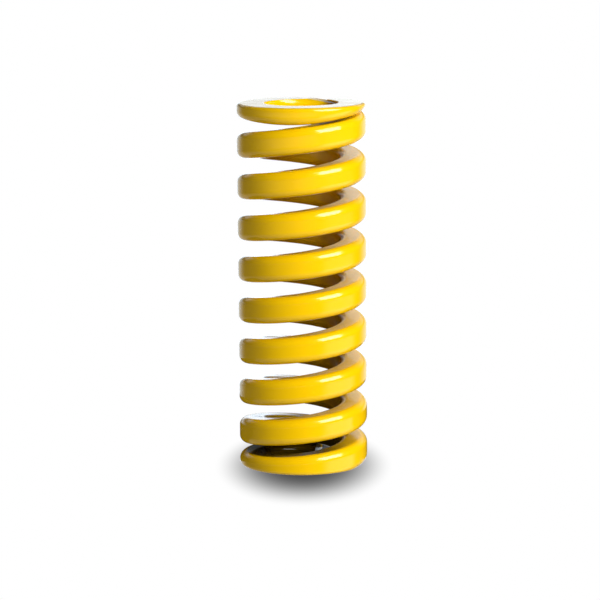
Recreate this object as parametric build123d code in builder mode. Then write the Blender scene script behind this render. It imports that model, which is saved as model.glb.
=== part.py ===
from build123d import *
from build123d.topology import SkipClean
from math import cos, pi, radians, sin
import os

# Die spring: one bar of near-square section with rounded corners, wound right-hand
# about +Z, its end turns closed down and ground flat. The base is at z = 0.
# All sizes are in millimetres, angles in degrees.

# The coil
outer_diameter = 31.4
bore_diameter = 18.0
free_length = 89.0
turns = 9.945
start_angle = 72.0

# The bar: its height along the spring's axis, and the round on its four long edges
wire_height = 6.35
corner_radius = 1.9

# The closed ends: the gap left between a tip and the next turn, the thickness that
# grinding leaves on each tip, and the round on the ground rings' outer edges
tip_gap = 0.35
lower_tip = 2.0
upper_tip = 0.4
end_round = 0.8

# The turns over which the pitch closes up: a bend at each end, which the upper one
# reaches after lying parallel to the turn below, and a slow easing by some millimetres
lower_bend = 0.48
upper_rest = 0.35
upper_bend = 0.34
ease_turns = 2.0
lower_ease = 1.8
upper_ease = 0.35

# Stock outside the finished walls and ends, cut away when they are trued
stock = 1.0
stock_length = 10.0
points_per_turn = 12

outer_radius = outer_diameter / 2
bore_radius = bore_diameter / 2
wall = outer_radius - bore_radius


def easing(turn):
    """Fall from 1 at a tip to 0 where the even pitch begins."""
    return max(0, 1 - turn / ease_turns) ** 2


def bend(turn, length):
    """Fall smoothly from 1 at the start of a bend of this many turns to 0 at its end."""
    x = min(max(turn / length, 0), 1)
    return 1 - x * x * (3 - 2 * x)


# The open turns share what the closed ends leave of the free length
lower_gap = tip_gap - lower_ease * easing(1)
upper_gap = tip_gap - upper_ease * easing(1)
closed_length = lower_tip + upper_tip + wire_height + lower_gap + upper_gap
pitch = (free_length - closed_length) / (turns - 2)
lower_drop = pitch - wire_height - lower_gap
upper_drop = pitch - wire_height - upper_gap
start_height = lower_tip - wire_height / 2 - lower_drop


def lower_closing(turn):
    """How far the bar is pressed in from the even pitch, this many turns from its lower tip."""
    return (lower_drop - lower_ease) * bend(turn, lower_bend) + lower_ease * easing(turn)


def upper_closing(turn):
    """How far the bar is pressed in from the even pitch, this many turns from its upper tip."""
    bent = bend(turn - upper_rest, upper_bend)
    return (upper_drop - upper_ease) * bent + upper_ease * easing(turn)


def height(turn):
    """Height of the bar's centre, this many turns above the lower tip."""
    return start_height + pitch * turn + lower_closing(turn) - upper_closing(turns - turn)


def long_edge(radius, rise):
    """A helical edge of the bar at this radius, this far above the bar's centre."""
    count = round(points_per_turn * turns)
    points = []
    for i in range(count + 1):
        turn = turns * i / count
        angle = radians(start_angle) + 2 * pi * turn
        points.append(Vector(radius * cos(angle), radius * sin(angle), height(turn) + rise))
    return Edge.make_spline(points, parameters=[i / count for i in range(count + 1)])


# The bar as wound, wider than the finished ring: four long sides and two end faces,
# each side ruled level or upright between two helical edges
half_height = wire_height / 2
corners = [
    long_edge(bore_radius - stock, -half_height),
    long_edge(outer_radius + stock, -half_height),
    long_edge(outer_radius + stock, half_height),
    long_edge(bore_radius - stock, half_height),
]
sides = [Face.make_surface_from_curves(corners[i - 1], corners[i]) for i in range(4)]
end_faces = [Face(Wire.make_polygon([edge @ end for edge in corners])) for end in (0, 1)]
with BuildPart() as bar:
    add(Solid(Shell(sides + end_faces)))

# True cylindrical walls outside and in the bore
with BuildPart() as coil:
    with BuildSketch(Plane(origin=(0, 0, -stock_length), x_dir=(0, 1, 0), z_dir=(0, 0, 1))):
        Circle(outer_radius)
        Circle(bore_radius, mode=Mode.SUBTRACT)
    extrude(amount=free_length + 2 * stock_length)
    add(bar.part, mode=Mode.INTERSECT)

# Each half turn of the walls is a face of its own
with BuildPart() as right:
    add(coil.part)
    split(bisect_by=Plane.YZ, keep=Keep.TOP)
with BuildPart() as left:
    add(coil.part)
    split(bisect_by=Plane.YZ, keep=Keep.BOTTOM)

# What is ground away at the lower end
with BuildPart() as waste:
    with BuildSketch(Plane.XZ):
        with BuildLine():
            Polyline(
                (outer_radius - end_round, 0),
                (0, 0),
                (0, -stock_length),
                (outer_radius + stock, -stock_length),
                (outer_radius + stock, end_round),
                (outer_radius, end_round),
            )
            CenterArc((outer_radius - end_round, end_round), end_round, -90, 90)
        make_face()
    revolve(axis=Axis.Z)

with SkipClean(), BuildPart() as spring:
    add(right.part)
    add(left.part)
    # Rounds along the bar's four long edges
    walls = spring.faces().filter_by(GeomType.CYLINDER).edges()
    flanks = spring.faces().filter_by(GeomType.BSPLINE).edges()
    long_edges = [edge for edge in flanks if edge in walls]
    corner = min(corner_radius, 0.4 * wall, 0.4 * wire_height)
    rounded = spring.part.solids()[0].fillet(corner, long_edges)
    add(rounded, mode=Mode.REPLACE, clean=False)
    # Both ends ground flat and rounded off at their outer edge
    add(waste.part, mode=Mode.SUBTRACT)
    add(mirror(waste.part, about=Plane.XY.offset(free_length / 2)), mode=Mode.SUBTRACT)

spring.part.label = "spring"
os.makedirs("parts", exist_ok=True)
export_step(spring.part, "parts/spring.step")
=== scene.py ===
from math import asin, cos, pi, radians, sin

import bmesh
import bpy
from mathutils import Matrix, Vector


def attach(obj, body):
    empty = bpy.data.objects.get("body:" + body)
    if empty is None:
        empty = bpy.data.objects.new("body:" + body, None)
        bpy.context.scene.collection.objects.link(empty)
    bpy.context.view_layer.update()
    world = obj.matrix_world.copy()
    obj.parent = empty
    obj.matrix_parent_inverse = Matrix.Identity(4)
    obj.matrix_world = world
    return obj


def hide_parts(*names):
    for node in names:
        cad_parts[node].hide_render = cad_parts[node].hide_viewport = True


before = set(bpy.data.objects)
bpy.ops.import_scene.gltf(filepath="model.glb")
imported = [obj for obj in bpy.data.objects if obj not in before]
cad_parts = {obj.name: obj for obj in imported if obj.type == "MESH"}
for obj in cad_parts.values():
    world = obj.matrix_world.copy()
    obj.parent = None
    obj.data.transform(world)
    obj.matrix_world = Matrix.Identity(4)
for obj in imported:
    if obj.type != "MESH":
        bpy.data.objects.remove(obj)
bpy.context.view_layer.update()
scene = bpy.context.scene

# The coil's sizes in metres and degrees, the same as the CAD's
OUTER_RADIUS = 0.0157
BORE_RADIUS = 0.009
LENGTH = 0.089
TURNS = 9.945
START_ANGLE = 72.0
WIRE_HEIGHT = 0.00635
CORNER_RADIUS = 0.0019
TIP_GAP = 0.00035
LOWER_TIP = 0.002
UPPER_TIP = 0.0004
END_ROUND = 0.0008

# How the pitch closes up at each end: turns, and the slow easing's metres
LOWER_BEND = 0.48
UPPER_REST = 0.35
UPPER_BEND = 0.34
EASE_TURNS = 2.0
LOWER_EASE = 0.0018
UPPER_EASE = 0.00035

# The round that breaks every sharp edge
EDGE_ROUND = 0.00016

# How finely the coil is meshed: sections along the bar, steps round each kind of round,
# and places between them up the bar's walls and across its level sides
SECTIONS_PER_TURN = 84
TIP_STEPS = 4
CORNER_STEPS = 9
RIM_STEPS = 6
EDGE_STEPS = 4
UP_THE_WALL = (-0.94, -0.3, 0.3, 0.94)
ACROSS_THE_BAR = (0.04, 0.35, 0.65, 0.96)
MERGE_DISTANCE = 2e-6
SLIVER = 1e-6

MIDDLE_RADIUS = (OUTER_RADIUS + BORE_RADIUS) / 2


def clamp(value, lowest, highest):
    return min(max(value, lowest), highest)


def easing(turn):
    """Fall from 1 at a tip to 0 where the even pitch begins."""
    return max(0.0, 1 - turn / EASE_TURNS) ** 2


def bend(turn, length):
    """Fall smoothly from 1 at the start of a bend of this many turns to 0 at its end."""
    x = clamp(turn / length, 0.0, 1.0)
    return 1 - x * x * (3 - 2 * x)


LOWER_GAP = TIP_GAP - LOWER_EASE * easing(1)
UPPER_GAP = TIP_GAP - UPPER_EASE * easing(1)
PITCH = (LENGTH - LOWER_TIP - UPPER_TIP - WIRE_HEIGHT - LOWER_GAP - UPPER_GAP) / (TURNS - 2)
LOWER_DROP = PITCH - WIRE_HEIGHT - LOWER_GAP
UPPER_DROP = PITCH - WIRE_HEIGHT - UPPER_GAP
START_HEIGHT = LOWER_TIP - WIRE_HEIGHT / 2 - LOWER_DROP


def height(turn):
    """Height of the bar's centre, this many turns above the lower tip."""
    left = TURNS - turn
    lower = (LOWER_DROP - LOWER_EASE) * bend(turn, LOWER_BEND) + LOWER_EASE * easing(turn)
    upper = (UPPER_DROP - UPPER_EASE) * bend(left - UPPER_REST, UPPER_BEND) + UPPER_EASE * easing(left)
    return START_HEIGHT + PITCH * turn + lower - upper


def round_at(centre, radius, z):
    """Sideways reach at height z of a round about this height, and its normal's angle there."""
    over = clamp(z - centre, -radius, radius)
    return (radius * radius - over * over) ** 0.5, asin(over / radius)


def round_levels(radius, steps):
    """How far above its foot a quarter round of this radius is, at even steps of angle."""
    return [radius * (1 - cos(pi / 2 * k / steps)) for k in range(1, steps + 1)]


def section(centre, inset):
    """Outline of the bar's section at this height, as (radius, height) points.

    It has rounded corners, and is ground off at both ends' planes with the rings' outer
    rounds. It is drawn EDGE_ROUND too small, and by the inset smaller still, and each point
    is then moved out by EDGE_ROUND along its normal, so that every edge is broken."""
    half_width = (OUTER_RADIUS - BORE_RADIUS) / 2 - EDGE_ROUND - inset
    half_height = WIRE_HEIGHT / 2 - EDGE_ROUND - inset
    corner = CORNER_RADIUS - EDGE_ROUND
    flat = half_height - corner
    rim = END_ROUND - EDGE_ROUND
    lowest = EDGE_ROUND + inset
    highest = LENGTH - EDGE_ROUND - inset
    low = max(centre - half_height, lowest)
    high = min(centre + half_height, highest)

    def side(z, has_rim):
        """Half the width at this height, the height, and the outward normal's angle there."""
        z = clamp(z, low, high)
        reach, angle = round_at(centre + clamp(z - centre, -flat, flat), corner, z)
        width = half_width - corner + reach
        if has_rim:
            reach, rim_angle = round_at(clamp(z, lowest + rim, highest - rim), rim, z)
            if half_width - rim + reach < width:
                width, angle = half_width - rim + reach, rim_angle
        return width, z, angle

    def edge(width, z, start, end):
        """One place that the normal turns round at, from one angle to another."""
        return [(width, z, start + (end - start) * k / EDGE_STEPS) for k in range(EDGE_STEPS + 1)]

    def wall(levels, has_rim):
        """One upright side with the edges at its foot and its top."""
        foot_width, _, foot_angle = side(low, has_rim)
        top_width, _, top_angle = side(high, has_rim)
        points = edge(foot_width, low, -pi / 2, foot_angle)
        points += [side(z, has_rim) for z in sorted(clamp(z, low, high) for z in levels)]
        return points + edge(top_width, high, top_angle, pi / 2)

    corner_levels = round_levels(corner, CORNER_STEPS)
    levels = [centre - half_height + up for up in corner_levels]
    levels += [centre + half_height - down for down in corner_levels]
    levels += [centre + flat * k for k in UP_THE_WALL]
    rim_levels = round_levels(rim, RIM_STEPS)
    rim_levels = [lowest + up for up in rim_levels] + [highest - down for down in rim_levels]

    outer = wall(levels + rim_levels, has_rim=True)
    inner = wall(levels, has_rim=False)
    top_outer, top_inner = outer[-1][0], inner[-1][0]
    foot_outer, foot_inner = outer[0][0], inner[0][0]
    top = [(top_outer - (top_outer + top_inner) * k, high, pi / 2) for k in ACROSS_THE_BAR]
    facing_axis = [(-x, z, pi - angle) for x, z, angle in reversed(inner)]
    foot = [(-foot_inner + (foot_outer + foot_inner) * k, low, -pi / 2) for k in ACROSS_THE_BAR]
    return [(MIDDLE_RADIUS + x + EDGE_ROUND * cos(angle), z + EDGE_ROUND * sin(angle))
            for x, z, angle in outer + top + facing_axis + foot]


def stations():
    """Places along the bar, each with its inset: the tips are rounded off by EDGE_ROUND."""
    reach = EDGE_ROUND / (2 * pi * MIDDLE_RADIUS)
    angles = [pi / 2 * k / TIP_STEPS for k in range(TIP_STEPS - 1, -1, -1)]
    tip = [(0.0, EDGE_ROUND)]
    tip += [(reach * (1 - sin(angle)), EDGE_ROUND * (1 - cos(angle))) for angle in angles]
    clear = 1.5 * reach
    even = [i / SECTIONS_PER_TURN for i in range(round(TURNS * SECTIONS_PER_TURN) + 1)]
    along = [(turn, 0.0) for turn in even if clear < turn < TURNS - clear]
    return tip + along + [(TURNS - turn, inset) for turn, inset in reversed(tip)]


def coil_mesh(name):
    """The bar's section swept along its helix."""
    verts, faces = [], []
    places = stations()
    for turn, inset in places:
        angle = radians(START_ANGLE) + 2 * pi * turn
        ring = section(height(turn), inset)
        verts += [(radius * cos(angle), radius * sin(angle), z) for radius, z in ring]
    count = len(ring)
    for i in range(len(places) - 1):
        for j in range(count):
            a = i * count + j
            b = i * count + (j + 1) % count
            faces.append((a, a + count, b + count, b))
    faces.append(tuple(range(count)))
    faces.append(tuple(len(verts) - 1 - j for j in range(count)))
    mesh = bpy.data.meshes.new(name)
    mesh.from_pydata(verts, [], faces)
    clean_up(mesh)
    mesh.shade_smooth()
    return mesh


def clean_up(mesh):
    """Merge points that coincide, drop what has no area, and turn all faces outwards."""
    bm = bmesh.new()
    bm.from_mesh(mesh)
    bmesh.ops.remove_doubles(bm, verts=bm.verts, dist=MERGE_DISTANCE)
    bmesh.ops.dissolve_degenerate(bm, dist=SLIVER, edges=bm.edges)
    bmesh.ops.recalc_face_normals(bm, faces=bm.faces)
    loose = [vert for vert in bm.verts if not vert.link_faces]
    bmesh.ops.delete(bm, geom=loose, context="VERTS")
    bm.to_mesh(mesh)
    bm.free()


coil = bpy.data.objects.new("coil", coil_mesh("coil"))
scene.collection.objects.link(coil)
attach(coil, "root")
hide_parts("spring")


def build(tree, kind, **settings):
    """A shader node of this kind. A setting with an input's name goes to that input, as a link
    where it is another node's output; any other is a property of the node."""
    node = tree.nodes.new("ShaderNode" + kind)
    for key, value in settings.items():
        name = key.replace("_", " ")
        if name not in node.inputs:
            setattr(node, key, value)
        elif isinstance(value, bpy.types.NodeSocket):
            tree.links.new(value, node.inputs[name])
        else:
            node.inputs[name].default_value = value
    return node


def ramp(tree, source, start, end, low=0.0, high=1.0):
    """Ease from low to high as the source goes from start to end."""
    node = build(tree, "MapRange", interpolation_type="SMOOTHSTEP", Value=source,
                 From_Min=start, From_Max=end, To_Min=low, To_Max=high)
    return node.outputs["Result"]


def maths(tree, operation, *sources):
    """What a Math node makes of these numbers and outputs."""
    node = build(tree, "Math", operation=operation)
    for slot, source in zip(node.inputs, sources):
        if isinstance(source, bpy.types.NodeSocket):
            tree.links.new(source, slot)
        else:
            slot.default_value = source
    return node.outputs["Value"]


def product(tree, first, *others):
    """All of these multiplied."""
    for other in others:
        first = maths(tree, "MULTIPLY", first, other)
    return first


def total(tree, first, *others):
    """All of these added up."""
    for other in others:
        first = maths(tree, "ADD", first, other)
    return first


def remainder(tree, share):
    """What a share leaves of 1."""
    return maths(tree, "SUBTRACT", 1.0, share)


def new_material(name):
    """A material with an empty node tree."""
    material = bpy.data.materials.new(name)
    material.use_nodes = True
    material.node_tree.nodes.clear()
    return material, material.node_tree


# The paint's colour in its deeper and its lighter patches, each with the share of the
# noise that it lies at, and the paint's least and greatest roughness
DEEPER = (0.3, (0.88, 0.525, 0.0008, 1))
LIGHTER = (0.7, (0.92, 0.56, 0.0012, 1))
GLOSSIEST = 0.09
DULLEST = 0.19

# How each painted shade on the paint eases in, and the top ring that stays clear of them:
# from where to where in metres and, where two more numbers follow, from which level to
# which. SHELTER goes by how open a place is, the others by height or distance from the axis.
SHELTER_REACH = 0.02
SHELTER = (0.10, 0.52, 0.05, 1.0)
BORE_WALL = (BORE_RADIUS + 0.0013, BORE_RADIUS + 0.0003)
BORE_DARKNESS = (0.0, 0.09, 0.62, 0.17)
BEHIND_OUTER_WALL = (OUTER_RADIUS - 0.0012, OUTER_RADIUS - 0.0022)
BASE_DARKNESS = (0.0062, 0.0050, 0.0, 0.80)
TOP_RING = (LENGTH - 0.0045, LENGTH - 0.002)


def painted_shade_factor(tree, place):
    """How much of its full colour the paint keeps: painted shade on the bore wall, darker towards
    the bottom, in the narrow gaps and inside the base, darkens it everywhere but on the top ring."""
    up = build(tree, "SeparateXYZ", Vector=place).outputs["Z"]
    sideways = build(tree, "VectorMath", operation="MULTIPLY", Vector=place)
    sideways.inputs[1].default_value = (1, 1, 0)
    radius = build(tree, "VectorMath", operation="LENGTH", Vector=sideways.outputs["Vector"])
    from_axis = radius.outputs["Value"]
    # Painted shade in the narrow gaps, by how open each place is
    openness = build(tree, "AmbientOcclusion", samples=12, Distance=SHELTER_REACH).outputs["AO"]
    gap_shade = ramp(tree, openness, *SHELTER)
    # Painted shade on the bore wall, darker towards the bottom
    bore_shade = product(tree, ramp(tree, from_axis, *BORE_WALL), ramp(tree, up, *BORE_DARKNESS))
    # Painted shade inside the base, behind the outer wall
    base_shade = product(tree, ramp(tree, from_axis, *BEHIND_OUTER_WALL), ramp(tree, up, *BASE_DARKNESS))
    shade_factor = product(tree, remainder(tree, bore_shade), gap_shade, remainder(tree, base_shade))
    # The top ring, which light reaches, is left without painted shade
    return maths(tree, "MAXIMUM", shade_factor, ramp(tree, up, *TOP_RING))


def yellow_paint():
    """Glossy paint: a slight orange peel and sag, a little unevenness in colour and gloss,
    and painted shade in the bore, the narrow gaps and the base.
    """
    material, tree = new_material("yellow_paint")
    place = build(tree, "TexCoord").outputs["Object"]

    def noise(scale, detail):
        return build(tree, "TexNoise", Vector=place, Scale=scale, Detail=detail).outputs["Fac"]

    hue = build(tree, "ValToRGB", Fac=noise(scale=70.0, detail=3.0))
    for element, (position, colour) in zip(hue.color_ramp.elements, (DEEPER, LIGHTER)):
        element.position = position
        element.color = colour
    # The paint's colour darkened by the painted shade
    hue_with_painted_shade = build(tree, "VectorMath", operation="SCALE", Vector=hue.outputs["Color"],
                    Scale=painted_shade_factor(tree, place))
    gloss = build(tree, "MapRange", Value=noise(scale=240.0, detail=4.0),
                  To_Min=GLOSSIEST, To_Max=DULLEST)
    sag = build(tree, "Bump", Height=noise(scale=160.0, detail=1.0), Strength=0.3, Distance=0.00012)
    peel = build(tree, "Bump", Height=noise(scale=900.0, detail=2.0), Strength=0.25,
                 Distance=0.00003, Normal=sag.outputs["Normal"])
    bsdf = build(tree, "BsdfPrincipled", IOR=1.5, Base_Color=hue_with_painted_shade.outputs["Vector"],
                 Roughness=gloss.outputs["Result"], Normal=peel.outputs["Normal"])
    build(tree, "OutputMaterial", Surface=bsdf.outputs["BSDF"])
    return material


coil.data.materials.append(yellow_paint())


def stage_object(name, points, faces, material):
    """A piece of the stage, which isn't part of the object."""
    mesh = bpy.data.meshes.new(name)
    mesh.from_pydata(points, [], faces)
    mesh.materials.append(material)
    piece = bpy.data.objects.new(name, mesh)
    scene.collection.objects.link(piece)
    return piece


def stage_face(name, points, material):
    """A flat face through these points."""
    return stage_object(name, points, [tuple(range(len(points)))], material)


def stage_strip(name, near, far, material):
    """A strip between two lines of points."""
    count = len(near)
    faces = [(i, i + 1, count + i + 1, count + i) for i in range(count - 1)]
    return stage_object(name, near + far, faces, material)


def arc_points(radius, start, end, z, count=36):
    """Points round the coil's axis from one angle to another, at this height."""
    angles = [radians(start + (end - start) * i / (count - 1)) for i in range(count)]
    return [(radius * cos(a), radius * sin(a), z) for a in angles]


# The floor, and its painted shadow: an ellipse round a place a little in front of the axis, longer
# from front to back, that eases out over SHADOW_RANGE. The painted shadow is darkest behind the
# lower tip, where the coil's underside shuts the light out.
FLOOR_HALF = 4
SHADOW_SCALE = (2, 1, 0)
SHADOW_SHIFT = (0, 0.003, 0)
SHADOW_RANGE = (-0.017, 0.0447)
SHADOW_POWER = 5.0
SHADOW_LEAST = 0.056
BEHIND_TIP = (0.004, 0.020, 0)
BEHIND_TIP_LEVELS = (0.0, 0.014, 0.15, 1.0)


def floor_white():
    """Plain white round a painted soft shadow that hugs the base."""
    material, tree = new_material("floor_white")
    place = build(tree, "TexCoord").outputs["Object"]
    shape = build(tree, "Mapping", Vector=place, Location=SHADOW_SHIFT, Scale=SHADOW_SCALE)
    away = build(tree, "VectorMath", operation="LENGTH", Vector=shape.outputs["Vector"])
    # Painted shadow: an ellipse that eases out from near the base
    shade = maths(tree, "POWER", ramp(tree, away.outputs["Value"], *SHADOW_RANGE), SHADOW_POWER)
    shade = maths(tree, "MULTIPLY_ADD", shade, 1 - SHADOW_LEAST, SHADOW_LEAST)
    # A darker painted shadow just behind the lower tip
    from_tip = build(tree, "VectorMath", operation="DISTANCE", Vector=place)
    from_tip.inputs[1].default_value = BEHIND_TIP
    core = ramp(tree, from_tip.outputs["Value"], *BEHIND_TIP_LEVELS)
    glow = build(tree, "Emission", Strength=product(tree, shade, core))
    build(tree, "OutputMaterial", Surface=glow.outputs["Emission"])
    return material


def flag_black():
    """Matt black."""
    material, tree = new_material("flag_black")
    matt = build(tree, "BsdfDiffuse", Color=(0.03, 0.03, 0.03, 1))
    build(tree, "OutputMaterial", Surface=matt.outputs["BSDF"])
    return material


floor_corners = [(-FLOOR_HALF, -FLOOR_HALF, 0), (FLOOR_HALF, -FLOOR_HALF, 0),
                 (FLOOR_HALF, FLOOR_HALF, 0), (-FLOOR_HALF, FLOOR_HALF, 0)]
floor = stage_face("floor", floor_corners, floor_white())
floor.visible_diffuse = False
floor.visible_glossy = False
floor.visible_shadow = False

# Black flags unseen by the camera: one under the bore, and two round the back of the base,
# of which one lies flat and one stands upright
FLAG_FOOT = -0.0001
FLAG_TOP = 0.009
UNDER_RADIUS = BORE_RADIUS + 0.003
FLAT_NEAR = 0.017
FLAT_FAR = 0.090
UPRIGHT_RADIUS = 0.040


def back_arc(radius, z):
    """Points round the back half of the coil."""
    return arc_points(radius, 0, 180, z)


black = flag_black()
under = stage_face("flag_under", arc_points(UNDER_RADIUS, 0, 350, FLAG_FOOT), black)
flat = stage_strip("flag_flat", back_arc(FLAT_NEAR, FLAG_FOOT), back_arc(FLAT_FAR, FLAG_FOOT), black)
upright_foot = back_arc(UPRIGHT_RADIUS, FLAG_FOOT)
upright = stage_strip("flag_upright", upright_foot, back_arc(UPRIGHT_RADIUS, FLAG_TOP), black)
for flag in (under, flat, upright):
    flag.visible_camera = False
    flag.visible_shadow = False
flat.visible_diffuse = False
upright.visible_diffuse = False

# Camera: it looks down by this many degrees, and is rolled by this many radians
CAMERA_PLACE = (-0.00063, -0.6483, 0.1482)
CAMERA_DOWN = 9.43
CAMERA_ROLL = -0.0075

lens = bpy.data.cameras.new("camera")
lens.lens = 160.9
lens.sensor_width = 36
lens.clip_start = 0.01
lens.clip_end = 100
camera = bpy.data.objects.new("camera", lens)
scene.collection.objects.link(camera)
camera.location = CAMERA_PLACE
camera.rotation_mode = "QUATERNION"
tilt = Matrix.Rotation(radians(90 - CAMERA_DOWN), 3, "X") @ Matrix.Rotation(CAMERA_ROLL, 3, "Z")
camera.rotation_quaternion = tilt.to_quaternion()
scene.camera = camera
scene.view_settings.view_transform = "Standard"


def soft_box(name, azimuth, elevation, distance, width, tall, radiance):
    """A soft box aimed at the coil's middle from this azimuth (degrees round from the front
    towards the right) and elevation, its radiance 1.0 where it would just show white."""
    data = bpy.data.lights.new(name, "AREA")
    data.shape = "RECTANGLE"
    data.size = width
    data.size_y = tall
    data.energy = radiance * pi * width * tall
    lamp = bpy.data.objects.new(name, data)
    scene.collection.objects.link(lamp)
    az, el = radians(azimuth), radians(elevation)
    target = Vector((0, 0, LENGTH / 2))
    lamp.location = target + distance * Vector((sin(az) * cos(el), -cos(az) * cos(el), sin(el)))
    lamp.rotation_mode = "QUATERNION"
    lamp.rotation_quaternion = (target - lamp.location).to_track_quat("-Z", "Y")
    return lamp


# The key light falls from one box and is mirrored from another; the third lights the back
key = soft_box("key_soft", azimuth=41, elevation=22, distance=0.9, width=0.5, tall=0.3, radiance=25.0)
key.visible_glossy = False
shine = soft_box("key_shine", azimuth=51, elevation=32, distance=0.6, width=0.43, tall=0.42, radiance=12.0)
shine.visible_diffuse = False
rear = soft_box("rear_soft", azimuth=190, elevation=-4, distance=0.9, width=0.9, tall=0.3, radiance=5.5)
rear.visible_glossy = False

# The studio round the coil, in levels. A side eases in between two directions (degrees round
# from the front towards the right) up to its level. The others follow the sine of the
# direction's elevation, from one value to the next and, where two more numbers follow, from
# one level to the next.
PANEL_SIDES = ((30, 52, 1.8), (112, 92, 1.0))
PANEL_TOP = (-0.10, -0.22)
PANEL_FOOT = (-0.85, -0.45)
BACKDROP_SIDES = ((-60, -100, 0.08), (-125, -155, 0.9), (120, 150, 1.2))
BEHIND_SIDES = ((165, 175, 1.0), (-165, -175, 1.0))
BEHIND_LEVELS = (0.10, 0.04, 0.45, 1.1)
BACKDROP_TOP = (0.75, 0.25)
BACKDROP_FOOT = (-0.50, -0.20)
DIP_FOOT = (0.12, 0.17, 0.0, 0.85)
DIP_TOP = (0.32, 0.27)
BACKDROP_COLOUR = (0.76, 0.88, 1.0, 1)
STRIP_SIDES = ((-100, -40, 0.9), (45, 15, 1.0))
STRIP_FOOT = (-0.13, -0.10)
STRIP_TOP = (-0.03, -0.06)
BELOW = (-0.20, -0.50)
BELOW_SHOWN = 0.5
DARK = 0.01
FILL_SIDES = ((-10, -70, 0.37), (60, 100, 0.08))
FILL_TOP = (0.9, 0.3)
FILL_LEAST = 0.08
BELOW_FILL = 0.35


def studio():
    """Pale to the camera. In reflections, a panel on the right below the horizon, a narrow
    strip just below the horizon in front and on the left, and a cool backdrop behind with a
    darker band in it; the rest is dark. As light, a soft fill, mostly from the left. Both have
    a pale floor below."""
    world = bpy.data.worlds.new("world")
    world.use_nodes = True
    tree = world.node_tree
    tree.nodes.clear()
    place = build(tree, "TexCoord").outputs["Generated"]
    axes = build(tree, "SeparateXYZ", Vector=place)
    x, y, z = axes.outputs
    turned = maths(tree, "ARCTAN2", x, maths(tree, "MULTIPLY", y, -1.0))

    def sides(*sectors):
        """A level for each of these sectors, which eases in between its two directions."""
        return [ramp(tree, turned, radians(start), radians(end), 0.0, high)
                for start, end, high in sectors]

    def by_height(*limits):
        """A level that eases with the direction's height."""
        return ramp(tree, z, *limits)

    panel = product(tree, *sides(*PANEL_SIDES), by_height(*PANEL_TOP), by_height(*PANEL_FOOT))
    behind = product(tree, total(tree, *sides(*BEHIND_SIDES)), by_height(*BEHIND_LEVELS))
    sweep = total(tree, *sides(*BACKDROP_SIDES), behind)
    dip = product(tree, by_height(*DIP_FOOT), by_height(*DIP_TOP))
    sweep = product(tree, sweep, by_height(*BACKDROP_TOP), by_height(*BACKDROP_FOOT), remainder(tree, dip))
    below = by_height(*BELOW)
    strip = product(tree, *sides(*STRIP_SIDES), by_height(*STRIP_FOOT), by_height(*STRIP_TOP))
    shown = total(tree, panel, strip, product(tree, below, BELOW_SHOWN), DARK)
    fill = product(tree, total(tree, *sides(*FILL_SIDES)), by_height(*FILL_TOP))
    fill = total(tree, fill, FILL_LEAST, product(tree, below, BELOW_FILL))

    path = build(tree, "LightPath")
    mirrored = path.outputs["Is Glossy Ray"]
    level = build(tree, "Mix", Factor=mirrored, A=fill, B=shown)
    room = build(tree, "Background", Strength=level.outputs["Result"])
    backdrop = build(tree, "Background", Color=BACKDROP_COLOUR, Strength=product(tree, sweep, mirrored))
    lit = build(tree, "AddShader")
    tree.links.new(room.outputs["Background"], lit.inputs[0])
    tree.links.new(backdrop.outputs["Background"], lit.inputs[1])
    seen = build(tree, "Background", Strength=1.0)
    mix = build(tree, "MixShader", Fac=path.outputs["Is Camera Ray"])
    tree.links.new(lit.outputs["Shader"], mix.inputs[1])
    tree.links.new(seen.outputs["Background"], mix.inputs[2])
    build(tree, "OutputWorld", Surface=mix.outputs["Shader"])
    return world


scene.world = studio()
